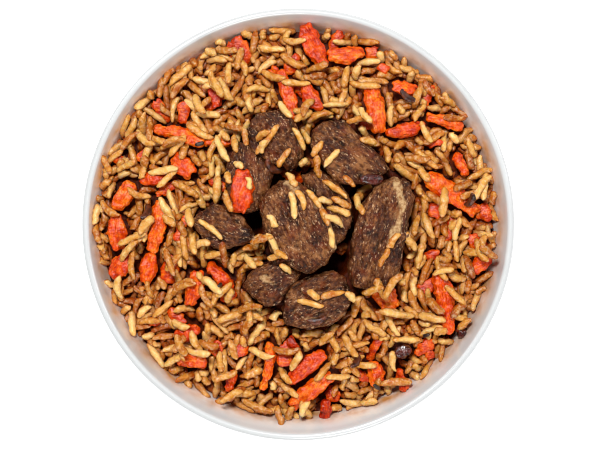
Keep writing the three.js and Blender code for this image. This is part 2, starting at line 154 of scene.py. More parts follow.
# Dark shreds of onion, seeds and the berry on the beef: middle, direction, length, width, thickness
ONION = [
    (-8.9, 19.0, -36, 8.0, 2.6, 1.4), (6.4, -33.4, 10, 7.0, 2.0, 1.2), (-52.0, 4.0, 70, 7.0, 2.4, 1.4),
    (38.0, 44.0, -30, 7.0, 2.2, 1.2), (20.5, -48.0, 60, 6.5, 2.2, 1.2), (60.0, 8.0, 60, 6.5, 2.2, 1.2),
]
SEEDS = [
    (27.4, -56.8, -35, 3.0, 1.3, 1.2), (44.7, -38.8, 20, 2.8, 1.2, 1.1), (-34.1, 27.8, 15, 3.4, 1.3, 1.2),
    (-27.0, -21.0, 50, 2.4, 1.2, 1.0), (7.0, 47.5, -60, 2.4, 1.2, 1.0),
]
BERRY_ON_BEEF = [(25.3, 15.3, 0, 8.2, 3.2, 2.6)]

# How finely the small uneven pieces are made
LUMP_RINGS = 13
LUMP_SIDES = 14

# Pale edges on the beef: piece, half width and the line that they follow
FAT_LINES = [
    ("beef_right", 1.3, [(33.6, 15.5), (35.6, 7.0), (34.0, -0.5), (31.0, -6.0)]),
    ("beef_centre", 0.8, [(3.7, 11.2), (8.3, 4.2), (11.4, -2.7), (12.1, -9.0)]),
    ("beef_centre", 1.4, [(-4.4, 16.6), (-1.4, 11.4)]),
    ("beef_bottom", 0.6, [(3.4, -32.4), (9.3, -33.6)]),
    ("beef_lower_left", 1.1, [(-12.4, -18.2), (-9.8, -19.6)]),
]

RNG = np.random.default_rng(11)


# ------------------------------------------------------------------ noise and meshes


def lattice_noise(points, seed=0):
    """Smooth noise from -1 to 1, with one step of its lattice a unit."""
    cell = np.floor(points).astype(np.int64)
    share = points - cell
    share = share * share * (3 - 2 * share)
    total = np.zeros(len(points))
    for corner in itertools.product((0, 1), repeat=3):
        at = cell + corner
        mixed = (at[:, 0] * 73856093) ^ (at[:, 1] * 19349663) ^ (at[:, 2] * 83492791)
        mixed = (mixed ^ (seed * 265443576)) & 0x7FFFFFFF
        mixed = ((mixed ^ (mixed >> 13)) * 1274126177) & 0x7FFFFFFF
        value = ((mixed ^ (mixed >> 16)) & 0xFFFF) / 32767.5 - 1
        weight = np.prod(np.where(corner, share, 1 - share), axis=1)
        total += value * weight
    return total


def ridged(points, seed=0):
    """Noise from -1 to 1 with sharp crests."""
    return 1 - 2 * np.abs(lattice_noise(points, seed))


def new_object(name, mesh, material, replaced=()):
    piece = bpy.data.objects.new(name, mesh)
    bpy.context.scene.collection.objects.link(piece)
    mesh.materials.append(material)
    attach(piece, "root")
    if replaced:
        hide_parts(*replaced)
    return piece


def mesh_of(name, points, loops, totals, smooth=True):
    """A mesh from points in mm, the corners of its faces, and how many corners each face has."""
    mesh = bpy.data.meshes.new(name)
    mesh.vertices.add(len(points))
    mesh.vertices.foreach_set("co", (np.asarray(points) * MM).astype(np.float32).ravel())
    mesh.loops.add(len(loops))
    mesh.loops.foreach_set("vertex_index", np.asarray(loops, np.int32))
    mesh.polygons.add(len(totals))
    starts = np.concatenate([[0], np.cumsum(totals)[:-1]])
    mesh.polygons.foreach_set("loop_start", starts.astype(np.int32))
    mesh.polygons.foreach_set("loop_total", np.asarray(totals, np.int32))
    mesh.polygons.foreach_set("use_smooth", np.full(len(totals), smooth))
    mesh.update(calc_edges=True)
    mesh.validate()
    return mesh


def points_of(mesh):
    flat = np.empty(len(mesh.vertices) * 3, np.float32)
    mesh.vertices.foreach_get("co", flat)
    return flat.reshape(-1, 3).astype(float) / MM


def normals_of(mesh):
    flat = np.empty(len(mesh.vertices) * 3, np.float32)
    mesh.vertex_normals.foreach_get("vector", flat)
    return flat.reshape(-1, 3).astype(float)


def set_points(mesh, points):
    mesh.vertices.foreach_set("co", (points * MM).astype(np.float32).ravel())
    mesh.update()


def tone_attribute(mesh, values):
    """Four numbers at each point. The materials read the first three, and the last is always 1."""
    layer = mesh.color_attributes.new("tone", "FLOAT_COLOR", "POINT")
    layer.data.foreach_set("color", np.asarray(values, np.float32).ravel())


def remeshed(node, name, voxel, smoothing):
    """A fine copy of a CAD node's solid."""
    work = bpy.data.objects.new(name, NODES[node].data.copy())
    bpy.context.scene.collection.objects.link(work)
    remesh = work.modifiers.new("remesh", "REMESH")
    remesh.mode = "VOXEL"
    remesh.voxel_size = voxel * MM
    smooth = work.modifiers.new("smooth", "SMOOTH")
    smooth.factor = 0.5
    smooth.iterations = smoothing
    graph = bpy.context.evaluated_depsgraph_get()
    mesh = bpy.data.meshes.new_from_object(work.evaluated_get(graph))
    bpy.data.objects.remove(work)
    mesh.materials.clear()
    mesh.polygons.foreach_set("use_smooth", np.ones(len(mesh.polygons), bool))
    return mesh


# ------------------------------------------------------------------ materials


class Nodes:
    """A material and a short way to add its nodes."""

    def __init__(self, name):
        self.material = bpy.data.materials.new(name)
        self.material.use_nodes = True
        self.tree = self.material.node_tree
        self.shader = self.tree.nodes["Principled BSDF"]

    def add(self, kind, inputs=(), **settings):
        node = self.tree.nodes.new(kind)
        for key, value in settings.items():
            setattr(node, key, value)
        for socket, value in dict(inputs).items():
            self.plug(node.inputs[socket], value)
        return node

    def plug(self, socket, value):
        if isinstance(value, bpy.types.NodeSocket):
            self.tree.links.new(value, socket)
        else:
            socket.default_value = value

    def shade(self, **inputs):
        for name, value in inputs.items():
            self.plug(self.shader.inputs[name.replace("_", " ")], value)

    def place(self):
        return self.add("ShaderNodeTexCoord").outputs["Object"]

    def noise(self, size_mm, detail=3, roughness=0.5, place=None):
        inputs = {"Vector": place or self.place(), "Scale": 1 / (size_mm * MM)}
        inputs.update({"Detail": detail, "Roughness": roughness})
        return self.add("ShaderNodeTexNoise", inputs).outputs["Fac"]

    def spread(self, value, low, high, most=255):
        """A grey that is black below the low value and the most above the high one."""
        return self.ramp(value, [(low, (0, 0, 0)), (high, (most, most, most))])

    def stretched(self, along, ratio):
        """Coordinates squeezed along a direction, so that a pattern runs that way."""
        turn = math.atan2(along[1], along[0])
        inputs = {"Vector": self.place(), "Rotation": (0, 0, -turn)}
        turned = self.add("ShaderNodeMapping", inputs).outputs["Vector"]
        inputs = {"Vector": turned, "Scale": (ratio, 1, 1)}
        return self.add("ShaderNodeMapping", inputs).outputs["Vector"]

    def ramp(self, value, stops):
        node = self.add("ShaderNodeValToRGB", {"Fac": value})
        elements = node.color_ramp.elements
        while len(elements) < len(stops):
            elements.new(1)
        for element, (place, colour) in zip(elements, stops):
            element.position = place
            element.color = colour_of(colour)
        return node.outputs["Color"]

    def math(self, operation, a, b):
        return self.add("ShaderNodeMath", {0: a, 1: b}, operation=operation).outputs[0]

    def mix(self, share, a, b):
        node = self.add("ShaderNodeMix", data_type="RGBA")
        sockets = {s.identifier: s for s in node.inputs}
        for key, value in (("Factor_Float", share), ("A_Color", a), ("B_Color", b)):
            if isinstance(value, tuple) and len(value) == 3:
                value = colour_of(value)
            self.plug(sockets[key], value)
        return next(s for s in node.outputs if s.identifier == "Result_Color")

    def tone(self):
        """The numbers that tone_attribute left at each point."""
        read = self.add("ShaderNodeVertexColor", layer_name="tone").outputs["Color"]
        return self.add("ShaderNodeSeparateColor", {"Color": read}).outputs

    def bump(self, height, distance_mm, strength=1.0, normal=None):
        inputs = {"Height": height, "Distance": distance_mm * MM, "Strength": strength}
        if normal:
            inputs["Normal"] = normal
        return self.add("ShaderNodeBump", inputs).outputs["Normal"]


def colour_of(srgb):
    """A colour given as 0 to 255 on a screen, in linear light."""
    shares = [c / 255 for c in srgb]
    linear = [c / 12.92 if c <= 0.04045 else ((c + 0.055) / 1.055) ** 2.4 for c in shares]
    return (*linear, 1.0)


def rice_material(name, dark, middle, light):
    """Oily grains: pale on top and golden at the sides as painted light and shade, golden at the ends at
    random, with pale specks as painted highlights, and red-brown deep down as painted shade, partly oil.
    """
    m = Nodes(name)
    tone = m.tone()
    blotch = m.noise(2.6, 2)
    wander = m.math("ADD", m.math("MULTIPLY", tone["Red"], 0.35), m.math("MULTIPLY", blotch, 0.65))
    body = m.ramp(wander, [(0.26, dark), (0.48, middle), (0.68, light)])
    # Painted shade: the sides that face away from the top turn to the dark colour; the ends darken at
    # random
    golden = m.mix(tone["Blue"], body, dark)
    # Painted highlights: pale specks stand in for small glints on the grains
    glint_specked = m.mix(m.spread(m.noise(1.2, 2), 0.5, 0.66, 150), golden, (250, 228, 180))
    # Painted shade, partly oil: red-brown the deeper a point lies below the crest of the heap
    colour = m.mix(m.spread(tone["Green"], 0.2, 0.85, 235), glint_specked, (152, 54, 0))
    m.shade(Base_Color=colour, Roughness=0.26, Specular_IOR_Level=0.42)
    m.shade(Subsurface_Weight=0.35, Subsurface_Scale=1.2 * MM, Subsurface_Radius=(1.0, 0.5, 0.14))
    m.shade(Normal=m.bump(m.noise(1.0, 2), 0.45, 1.0))
    return m.material


def shaded_core_material():
    # Painted shade: dark red-brown for the shadow deep in the gaps between the loose grains
    m = Nodes("rice_under")
    body = m.ramp(m.noise(2.4, 3), [(0.3, (46, 11, 0)), (0.6, (80, 25, 2)), (0.8, (108, 42, 6))])
    m.shade(Base_Color=body, Roughness=0.5, Specular_IOR_Level=0.1)
    m.shade(Normal=m.bump(m.noise(2.0, 3), 1.0))
    return m.material


def beef_material(name, along):
    """Brown meat with painted shade in its creases and small pits, red patches, pale edges and small
    painted glints.
    """
    m = Nodes(name)
    tone = m.tone()
    fibre = m.noise(1.1, 3, 0.6, m.stretched(along, 0.4))
    spots = m.noise(1.2, 3, 0.65)
    patch = m.noise(4.5, 3)
    grain = m.math("ADD", m.math("MULTIPLY", spots, 0.5), m.math("MULTIPLY", fibre, 0.5))
    blend = m.math("ADD", m.math("MULTIPLY", tone["Green"], 0.22), m.math("MULTIPLY", grain, 0.78))
    stops = [(0.38, (38, 14, 5)), (0.46, (74, 35, 15)), (0.53, (102, 55, 26)), (0.62, (154, 100, 56))]
    # Painted shade: darker where the relief has creases
    crease_shaded = m.mix(m.spread(tone["Red"], 0.4, 0.85, 240), m.ramp(blend, stops), (30, 12, 4))
    patched = m.mix(m.spread(patch, 0.53, 0.66, 160), crease_shaded, (124, 44, 10))
    # Painted shade: small dark pits from noise
    pits = m.ramp(m.noise(0.75, 2), [(0.34, (150, 150, 150)), (0.5, (0, 0, 0))])
    pit_shaded = m.mix(pits, patched, (40, 15, 5))
    # Painted highlights: pale glints in bunches, stretched along the fibres
    dots = m.spread(m.noise(0.6, 2, 0.5, m.stretched(along, 0.5)), 0.58, 0.67, 220)
    bunches = m.ramp(m.noise(3.4, 2), [(0.42, (50, 50, 50)), (0.54, (250, 250, 250))])
    glinting = m.mix(m.math("MULTIPLY", dots, bunches), pit_shaded, (214, 172, 130))
    fat = m.ramp(spots, [(0.35, (150, 100, 54)), (0.6, (206, 168, 120))])
    gloss = m.ramp(spots, [(0.35, (140, 140, 140)), (0.65, (176, 176, 176))])
    m.shade(Base_Color=m.mix(tone["Blue"], glinting, fat), Roughness=gloss, Specular_IOR_Level=0.2)
    m.shade(Normal=m.bump(spots, 0.7, 1.0, m.bump(fibre, 0.4, 0.9)))
    return m.material


def carrot_material(name, along, dark, middle, light):
    """Soft orange flesh with fibres along the strip, and darker pits that are painted shade."""
    m = Nodes(name)
    fibre = m.noise(0.55, 3, 0.55, m.stretched(along, 0.2))
    patch = m.noise(2.4, 3)
    blend = m.math("ADD", m.math("MULTIPLY", patch, 0.6), m.math("MULTIPLY", fibre, 0.4))
    body = m.ramp(blend, [(0.34, dark), (0.5, middle), (0.66, light)])
    # Painted shade: small dark pits from noise
    pits = m.ramp(m.noise(0.9, 2), [(0.34, (180, 180, 180)), (0.5, (0, 0, 0))])
    m.shade(Base_Color=m.mix(pits, body, dark), Roughness=0.26, Specular_IOR_Level=0.45)
    m.shade(Subsurface_Weight=0.2, Subsurface_Scale=0.8 * MM, Subsurface_Radius=(1.0, 0.35, 0.1))
    m.shade(Normal=m.bump(m.noise(0.7, 3), 0.25, 0.9, m.bump(fibre, 0.3, 0.8)))
    return m.material


def plain_food_material(name, dark, light, roughness):
    m = Nodes(name)
    body = m.ramp(m.noise(1.6, 3), [(0.35, dark), (0.65, light)])
    m.shade(Base_Color=body, Roughness=roughness, Subsurface_Weight=0.15, Subsurface_Scale=1.0 * MM)
    m.shade(Normal=m.bump(m.noise(0.6, 3), 0.25, 0.9))
    return m.material


def berry_material():
    m = Nodes("dried_berry")
    body = m.ramp(m.noise(1.5, 3), [(0.3, (34, 8, 4)), (0.6, (88, 22, 10)), (0.8, (120, 44, 20))])
    m.shade(Base_Color=body, Roughness=0.25, Coat_Weight=0.5, Coat_Roughness=0.12)
    m.shade(Normal=m.bump(m.noise(1.0, 3), 0.5))
    return m.material


def glaze_material():
    """White glaze, painted grey outside and on the lip as painted shade, with a painted brown shadow and
    bounced light from the rice, partly an oil film, on the wall just over the rice.
    """
    m = Nodes("white_glaze")
    tone = m.tone()
    patchy = m.ramp(m.noise(7, 3), [(0.3, (120, 120, 120)), (0.7, (255, 255, 255))])
    # Painted shadow and bounced light from the rice, partly an oil film
    stain_and_shade = m.math("MULTIPLY", tone["Red"], patchy)
    # Painted shade: grey glaze outside and on the lip, white on the inner wall
    glaze = m.mix(tone["Green"], (212, 214, 214), (252, 253, 251))
    m.shade(Base_Color=m.mix(stain_and_shade, glaze, (206, 146, 80)), Roughness=0.2)
    m.shade(Coat_Weight=0.25, Coat_Roughness=0.08, Normal=m.bump(m.noise(9, 2), 0.05, 0.4))
    return m.material


# ------------------------------------------------------------------ bowl


def bezier(ends, share):
    a, b, c, d = (np.array(p, float) for p in ends)
    rest = 1 - share
    return rest**3 * a + 3 * rest**2 * share * b + 3 * rest * share**2 * c + share**3 * d


def belly_curve(steps):
    """The outer and inner line of the wall, from the foot to the lip."""
    shares = np.linspace(0, 1, steps)
    outer = np.array([bezier(BELLY, s) for s in shares])
    along = np.gradient(outer, axis=0)
    along /= np.linalg.norm(along, axis=1)[:, None]
    inwards = np.stack([-along[:, 1], along[:, 0]], 1)
    thickness = WALL_AT_FOOT + (WALL_AT_LIP - WALL_AT_FOOT) * shares
    return outer, outer + inwards * thickness[:, None]


def arc(centre, radius, from_degrees, to_degrees, steps):
    turns = np.radians(np.linspace(from_degrees, to_degrees, steps))
    return np.stack([centre[0] + radius * np.cos(turns), centre[1] + radius * np.sin(turns)], 1)


OUTER_WALL, INNER_WALL = belly_curve(40)


def bowl_section():
    """Half the bowl's outline: under the foot, up the outside, over the lip and down the inside."""
    lip_middle = (OUTER_WALL[-1] + INNER_WALL[-1]) / 2
    lean = math.degrees(math.atan2(*(OUTER_WALL[-1] - lip_middle)[::-1]))
    lip = arc(lip_middle, WALL_AT_LIP / 2, lean + 12, lean + 168, 14)
    foot_in = FOOT_RADIUS - FOOT_WIDTH
    foot = np.array([(0, FOOT_RECESS), (foot_in - 2, FOOT_RECESS), (foot_in - 0.6, FOOT_RECESS - 0.5)])
    tread = arc((foot_in + 0.4, 0.6), 0.6, 200, 270, 4)
    edge = arc((FOOT_RADIUS - 0.6, 0.6), 0.6, 270, 350, 4)
    floor = np.array([(INNER_WALL[0][0] - 4, INNER_WALL[0][1] - 0.2), (0, INNER_WALL[0][1] - 0.3)])
    return np.concatenate([foot, tread, edge, OUTER_WALL, lip, INNER_WALL[::-1], floor])


def lathe(name, section, sides):
    """A section turned round the upright axis."""
    turns = np.linspace(0, 2 * np.pi, sides, endpoint=False)
    rows = len(section)
    radius = np.maximum(section[:, 0], 1e-4)
    points = np.stack(
        [
            np.outer(np.cos(turns), radius).ravel(),
            np.outer(np.sin(turns), radius).ravel(),
            np.tile(section[:, 1], sides),
        ],
        1,
    )
    this = np.arange(sides)[:, None] * rows + np.arange(rows - 1)
    after = (np.arange(1, sides + 1) % sides)[:, None] * rows + np.arange(rows - 1)
    loops = np.stack([this, after, after + 1, this + 1], -1).reshape(-1)
    return mesh_of(name, points, loops, np.full(len(loops) // 4, 4))


# ------------------------------------------------------------------ height map


def cell_of(places):
    """The row or column of the height map that each place falls in."""
    return np.clip(((places + REACH) / CELL).astype(int), 0, SIDE - 1)


AXIS = (np.arange(SIDE) + 0.5) * CELL - REACH
GRID_X, GRID_Y = np.meshgrid(AXIS, AXIS)
GRID_R = np.hypot(GRID_X, GRID_Y)


def blurred(field, cells):
    """A box blur, done twice each way."""
    kernel = np.ones(cells) / cells
    for _ in range(2):
        for axis in (0, 1):
            padded = np.pad(field, [(cells, cells) if a == axis else (0, 0) for a in (0, 1)], mode="edge")
            line = np.apply_along_axis(np.convolve, axis, padded, kernel, "same")
            field = line[cells:-cells] if axis == 0 else line[:, cells:-cells]
    return field


def bare_core():
    """The heap without its grains: the lowest that the rice node's upper side comes near each place."""
    node = NODES["rice"].data
    tree = BVHTree.FromPolygons([v.co for v in node.vertices], [p.vertices for p in node.polygons])
    places = np.arange(-REACH, REACH + PROBE_STEP, PROBE_STEP)
    found = np.full((len(places), len(places)), np.nan)
    for row, y in enumerate(places):
        for column, x in enumerate(places):
            hit = tree.ray_cast(Vector((x * MM, y * MM, 1)), Vector((0, 0, -1)))[0]
            if hit is not None:
                found[row, column] = hit.z / MM
    for _ in range(PROBE_FILLS):
        around = np.stack([np.roll(found, s, a) for a in (0, 1) for s in (-1, 1)])
        known = ~np.isnan(around)
        mean = np.where(known, around, 0).sum(0) / np.maximum(known.sum(0), 1)
        found = np.where(np.isnan(found) & known.any(0), mean, found)
    padded = np.pad(found, GRAIN_IN_PROBES, mode="edge")
    shifts = range(2 * GRAIN_IN_PROBES + 1)
    window = [padded[r : r + len(places), c : c + len(places)] for r in shifts for c in shifts]
    low = blurred(np.min(window, axis=0), 5)
    rows = np.interp(AXIS, places, np.arange(len(places)))
    first = np.minimum(rows.astype(int), len(places) - 2)
    share = rows - first
    across = low[:, first] * (1 - share) + low[:, first + 1] * share
    return across[first] * (1 - share[:, None]) + across[first + 1] * share[:, None]


def wall_height(radius):
    """How high the inside of the bowl is at a distance from its middle."""
    return np.interp(radius, INNER_WALL[:, 0], INNER_WALL[:, 1], left=0, right=RIM_HEIGHT)


def stamp(height, points):
    """Raises a height map to a dense set of points."""
    column, row = cell_of(points[:, 0]), cell_of(points[:, 1])
    high = np.full_like(height, -1e3)
    np.maximum.at(high, (row, column), points[:, 2])
    for axis, step in itertools.product((0, 1), (-1, 1)):
        high = np.maximum(high, np.roll(high, step, axis) - 0.05)
    np.maximum(height, high, out=height)


# ------------------------------------------------------------------ settling of the grains

STATIONS = np.linspace(-1, 1, GRAIN_STATIONS)
MIDDLE_STATION = GRAIN_STATIONS // 2
LEFT, RIGHT = np.meshgrid(np.arange(MIDDLE_STATION), np.arange(MIDDLE_STATION + 1, GRAIN_STATIONS))
LEFT, RIGHT = LEFT.ravel(), RIGHT.ravel()
OFFSETS = np.array([-0.7, 0, 0.7])


def girth(share):
    """How thick a grain is along its length, as a share of its middle."""
    blunt = np.maximum(1 - np.abs(share) ** 7, 0) ** 0.55
    return blunt * (1 - 0.24 * share**2)


def rests(height, x, y, yaw, length, radius):
    """The height of a grain's middle and its slope, when it lies on two points of what is under it."""
    reach = (length / 2 - 0.6 * radius)[:, None] * STATIONS
    cos, sin = np.cos(yaw)[:, None, None], np.sin(yaw)[:, None, None]
    thick = radius[:, None] * girth(STATIONS * 0.9)
    side = thick[:, :, None] * OFFSETS
    px = x[:, None, None] + reach[:, :, None] * cos - side * sin
    py = y[:, None, None] + reach[:, :, None] * sin + side * cos
    under = height[cell_of(py), cell_of(px)] + np.sqrt(thick[:, :, None] ** 2 - side**2)
    under = under.max(axis=2)
    a, b = reach[:, LEFT], reach[:, RIGHT]
    left, right = under[:, LEFT], under[:, RIGHT]
    middle = (left * b - right * a) / (b - a)
    best = middle.argmax(axis=1)
    rows = np.arange(len(x))
    slope = (right[rows, best] - left[rows, best]) / (b[rows, best] - a[rows, best])
    centre = under[:, MIDDLE_STATION]
    return np.maximum(middle[rows, best], centre), np.clip(slope, -STEEPEST, STEEPEST)


def cover(height, x, y, z, yaw, slope, length, radius):
    """Raises the height map to a grain that now lies there."""
    reach = length / 2 + radius
    c0, c1 = cell_of(np.array([x - reach, x + reach]))
    r0, r1 = cell_of(np.array([y - reach, y + reach]))
    dx = GRID_X[r0 : r1 + 1, c0 : c1 + 1] - x
    dy = GRID_Y[r0 : r1 + 1, c0 : c1 + 1] - y
    along = dx * math.cos(yaw) + dy * math.sin(yaw)
    across = -dx * math.sin(yaw) + dy * math.cos(yaw)
    thick = radius * girth(np.clip(2 * along / length, -1, 1))
    inside = np.abs(across) < thick
    top = z + slope * along + np.sqrt(np.maximum(thick**2 - across**2, 0))
    patch = height[r0 : r1 + 1, c0 : c1 + 1]
    patch[inside] = np.maximum(patch[inside], top[inside])


class Grains:
    """The grains laid so far."""

    def __init__(self):
        self.rows = []

    def lay(self, height, x, y, yaw, length, radius, sink=SINK):
        z, slope = rests(height, *(np.array([v]) for v in (x, y, yaw, length, radius)))
        self.put(height, x, y, z[0] - sink, yaw, slope[0], length, radius)

    def put(self, height, x, y, z, yaw, slope, length, radius):
        self.rows.append((x, y, z, yaw, slope, length, radius))
        cover(height, x, y, z, yaw, slope, length, radius)


def grain_sizes(count):
    """Lengths and radii that vary, with some grains broken."""
    length = np.clip(RNG.normal(GRAIN_LENGTH, 1.2, count), 6.0, 12)
    broken = RNG.random(count) < 0.14
    length[broken] *= RNG.uniform(0.45, 0.8, broken.sum())
    return length, np.clip(RNG.normal(GRAIN_RADIUS, 0.11, count), 1.0, 1.55)


def grain_turns(x, y):
    """Directions that neighbouring grains half share, because they stick together."""
    flow = lattice_noise(np.stack([x / 11, y / 11, np.zeros(len(x))], 1), 5) * np.pi
    loose = RNG.uniform(0, np.pi, len(x))
    return np.where(RNG.random(len(x)) < 0.45, flow + RNG.normal(0, 0.3, len(x)), loose)


def fill_heap(height, grains, target, region, misses, share):
    """Lays grains in the lowest places first, until nothing lies lower than the target."""
    rows, columns = np.nonzero(region)
    missed = 0
    while missed < misses:
        pick = RNG.integers(len(rows), size=DRAWS)
        x, y = AXIS[columns[pick]], AXIS[rows[pick]]
        yaw = grain_turns(x, y)
        length, radius = grain_sizes(DRAWS)
        length *= share
        z, slope = rests(height, x, y, yaw, length, radius)
        over = z - target[rows[pick], columns[pick]]
        best = over.argmin()
        if over[best] > 0:
            missed += 1
            continue
        missed = 0
        if RNG.random() < STEEP_SHARE:
            steep = RNG.uniform(0.35, 1.1) * RNG.choice((-1, 1))
            slope[best] += steep
            z[best] -= abs(steep) * length[best] / 5
        values = (x, y, z - SINK, yaw, slope, length, radius)
        grains.put(height, *(v[best] for v in values))


def ring_places(rings):
    """Where the rings of a spindle lie from -1 to 1, closer together near its tips."""
    return np.sin(np.linspace(-1, 1, rings + 2) * np.pi / 2)[1:-1]


def spindle_faces(rings, sides):
    """The faces of a spindle: quads between its rings, and a fan at each tip."""
    corner = np.arange(sides)
    after = (corner + 1) % sides
    loops = []
    for low in range(0, (rings - 1) * sides, sides):
        quads = [low + corner, low + after, low + sides + after, low + sides + corner]
        loops.append(np.stack(quads, 1).ravel())
    tip = rings * sides
    last = tip - sides
    loops.append(np.stack([np.full(sides, tip), after, corner], 1).ravel())
    loops.append(np.stack([np.full(sides, tip + 1), last + corner, last + after], 1).ravel())
    totals = [4] * (sides * (rings - 1)) + [3] * (2 * sides)
    return np.concatenate(loops), np.array(totals)


def end_slant(ring, count):
    """Grains break off askew, so that each end leans its own way."""
    lean = RNG.normal(0, 1, (count, 2))
    at_end = np.abs(ring) ** 5
    return np.where(ring < 0, lean[:, :1], lean[:, 1:])[:, :, None] * at_end[None, :, None]


def grain_shapes(length, radius):
    """Bent, blunt and uneven rods along x: their points, ring by ring and then the tips, and how
    far up each point faces."""
    count = len(length)
    ring = ring_places(GRAIN_RINGS)
    turns = np.linspace(0, 2 * np.pi, GRAIN_SIDES, endpoint=False)
    shape = (count, GRAIN_RINGS, GRAIN_SIDES)
    dents = RNG.normal(0, 1, shape)
    dents = (dents + np.roll(dents, 1, 1) + np.roll(dents, 1, 2) + np.roll(dents, -1, 2)) / 4
    uneven = 1 + 0.26 * dents + RNG.normal(0, 0.09, (count, 1, 1)) * ring[None, :, None]
    thick = girth(ring)[None, :, None] * radius[:, None, None] * uneven
    angle = turns + RNG.uniform(0, 2 * np.pi, count)[:, None, None]
    across = thick * np.cos(angle)
    over = thick * np.sin(angle) * 0.9
    along = ring[None, :, None] * length[:, None, None] / 2 + 0.45 * across * end_slant(ring, count)
    bow_middle = 0.62
    bow = bow_middle - ring[None, :, None] ** 2
    bend = np.minimum(np.abs(RNG.normal(0, 0.55, count)), 1.3) * length / GRAIN_LENGTH
    wave = RNG.normal(0, 0.16, (count, 1, 1)) * np.sin(ring * np.pi)[None, :, None]
    across = across + bend[:, None, None] * bow + wave
    over = over + RNG.normal(0, 0.18, (count, 1, 1)) * bow
    tips = np.zeros((count, 2, 3))
    tips[:, :, 0] = np.outer(length / 2, (-1, 1))
    tips[:, :, 1] = (bend * (bow_middle - 1))[:, None]
    body = np.stack([along, across, over], -1).reshape(count, -1, 3)
    sides_up = np.sin(angle + np.zeros(shape)).reshape(count, -1)
    up = np.concatenate([sides_up, np.zeros((count, 2))], 1)
    return np.concatenate([body, tips], 1), up


def grain_tones(points, up):
    """At each point the grain's own tone, how deep it lies for the painted shade (partly oil) deep down,
    and how golden it is from painted shade on its sides and darker ends at random.
    """
    own = RNG.random((len(points), 2))
    crest = core_map[cell_of(points[:, :, 1]), cell_of(points[:, :, 0])] + CREST_OVER_CORE
    near_end = np.repeat(np.abs(ring_places(GRAIN_RINGS)) ** 6, GRAIN_SIDES)
    end = np.concatenate([near_end, [1, 1]])
    values = np.ones((*up.shape, 4))
    values[:, :, 0] = own[:, :1]
    # Painted shade, partly oil: how far the point lies below the crest of the heap
    values[:, :, 1] = np.clip((crest - points[:, :, 2]) / OIL_AND_SHADE_DEPTH, 0, 1)
    # Painted shade on the sides that face down, and darker ends at random
    values[:, :, 2] = np.clip(0.5 * end * own[:, 1:] + PAINTED_SIDE_SHADE * (1 - up), 0, 1)
    return values.reshape(-1, 4)


def grain_mesh(name, rows):
    """All these grains in one mesh, each where it came to rest."""
    x, y, z, yaw, slope, length, radius = rows.T
    local, up = grain_shapes(length, radius)
    count, each = up.shape
    pitch = np.arctan(slope)
    forward = np.stack([np.cos(pitch) * np.cos(yaw), np.cos(pitch) * np.sin(yaw), np.sin(pitch)], -1)
    sideways = np.stack([-np.sin(yaw), np.cos(yaw), np.zeros(count)], -1)
    basis = np.stack([forward, sideways, np.cross(forward, sideways)], 1)
    points = np.einsum("nvk,nkj->nvj", local, basis) + np.stack([x, y, z], -1)[:, None, :]
    loops, totals = spindle_faces(GRAIN_RINGS, GRAIN_SIDES)
    shift = np.arange(count)[:, None] * each
    mesh = mesh_of(name, points.reshape(-1, 3), (shift + loops).ravel(), np.tile(totals, count))
    tone_attribute(mesh, grain_tones(points, up))
    return mesh


def lump_body(number, length, width, thickness, roughness, curl):
    """The points of one small uneven piece along x, ring by ring and then the tips."""
    ring = ring_places(LUMP_RINGS)
    turns = np.linspace(0, 2 * np.pi, LUMP_SIDES, endpoint=False)
    round_off = np.sqrt(1 - np.abs(ring) ** 4)
    along = np.repeat(ring * length / 2, LUMP_SIDES)
    across = np.outer(round_off, np.cos(turns)).ravel() * width / 2
    over = np.outer(round_off, np.sin(turns)).ravel() * thickness / 2
    body = np.stack([along, across, over], 1)
    body = np.concatenate([body, [(-length / 2, 0, 0), (length / 2, 0, 0)]])
    outwards = body / np.array([length, width, thickness])
    outwards /= np.linalg.norm(outwards, axis=1)[:, None]
    coarse = ridged(body / (0.8 * width) + 7 * number, 60)
    fine = ridged(body / (0.35 * width) + 3 * number, 61)
    uneven = (coarse + 0.7 * fine)[:, None] * roughness * np.array([width, width, thickness])
    body += outwards * uneven
    body[:, 1] += curl * width * (body[:, 0] / length) ** 2 * 4
    return body


def lump_mesh(name, lumps, roughness, curl=0.0):
    """Small uneven pieces in one mesh, each from its middle, turn, slope, length, width and thickness."""
    points = []
    for number, (x, y, z, yaw, slope, length, width, thickness) in enumerate(lumps):
        forward = np.array([math.cos(yaw), math.sin(yaw), slope])
        forward /= np.linalg.norm(forward)
        sideways = np.array([-math.sin(yaw), math.cos(yaw), 0])
        basis = np.stack([forward, sideways, np.cross(forward, sideways)])
        body = lump_body(number, length, width, thickness, roughness, curl)
        points.append(body @ basis + (x, y, z))
    loops, totals = spindle_faces(LUMP_RINGS, LUMP_SIDES)
    shift = np.arange(len(lumps))[:, None] * len(points[0])
    return mesh_of(name, np.concatenate(points), (shift + loops).ravel(), np.tile(totals, len(lumps)))


def laid_lump(height, x, y, yaw, length, width, thickness, sink):
    """A lump's place when it lies on what is under it."""
    values = (x, y, yaw, length, thickness / 2)
    z, slope = rests(height, *(np.array([v], float) for v in values))
    middle = z[0] - sink
    cover(height, x, y, middle, yaw, slope[0], length, width / 2)
    return (x, y, middle, yaw, slope[0], length, width, thickness)


def laid_pieces(height, table, sink):
    return [laid_lump(height, x, y, math.radians(yaw), *size, sink) for x, y, yaw, *size in table]


# ------------------------------------------------------------------ toppings


def long_axis(points):
    """The direction, in plan, in which a piece is longest."""
    plan = points[:, :2] - points[:, :2].mean(0)
    values, vectors = np.linalg.eigh(plan.T @ plan)
    return vectors[:, values.argmax()]


def turned_to(points, axis):
    """Points turned so that x runs along the piece and y across it."""
    along = points[:, :2] @ axis
    across = points[:, :2] @ np.array([-axis[1], axis[0]])
    return np.stack([along, across, points[:, 2]], 1)


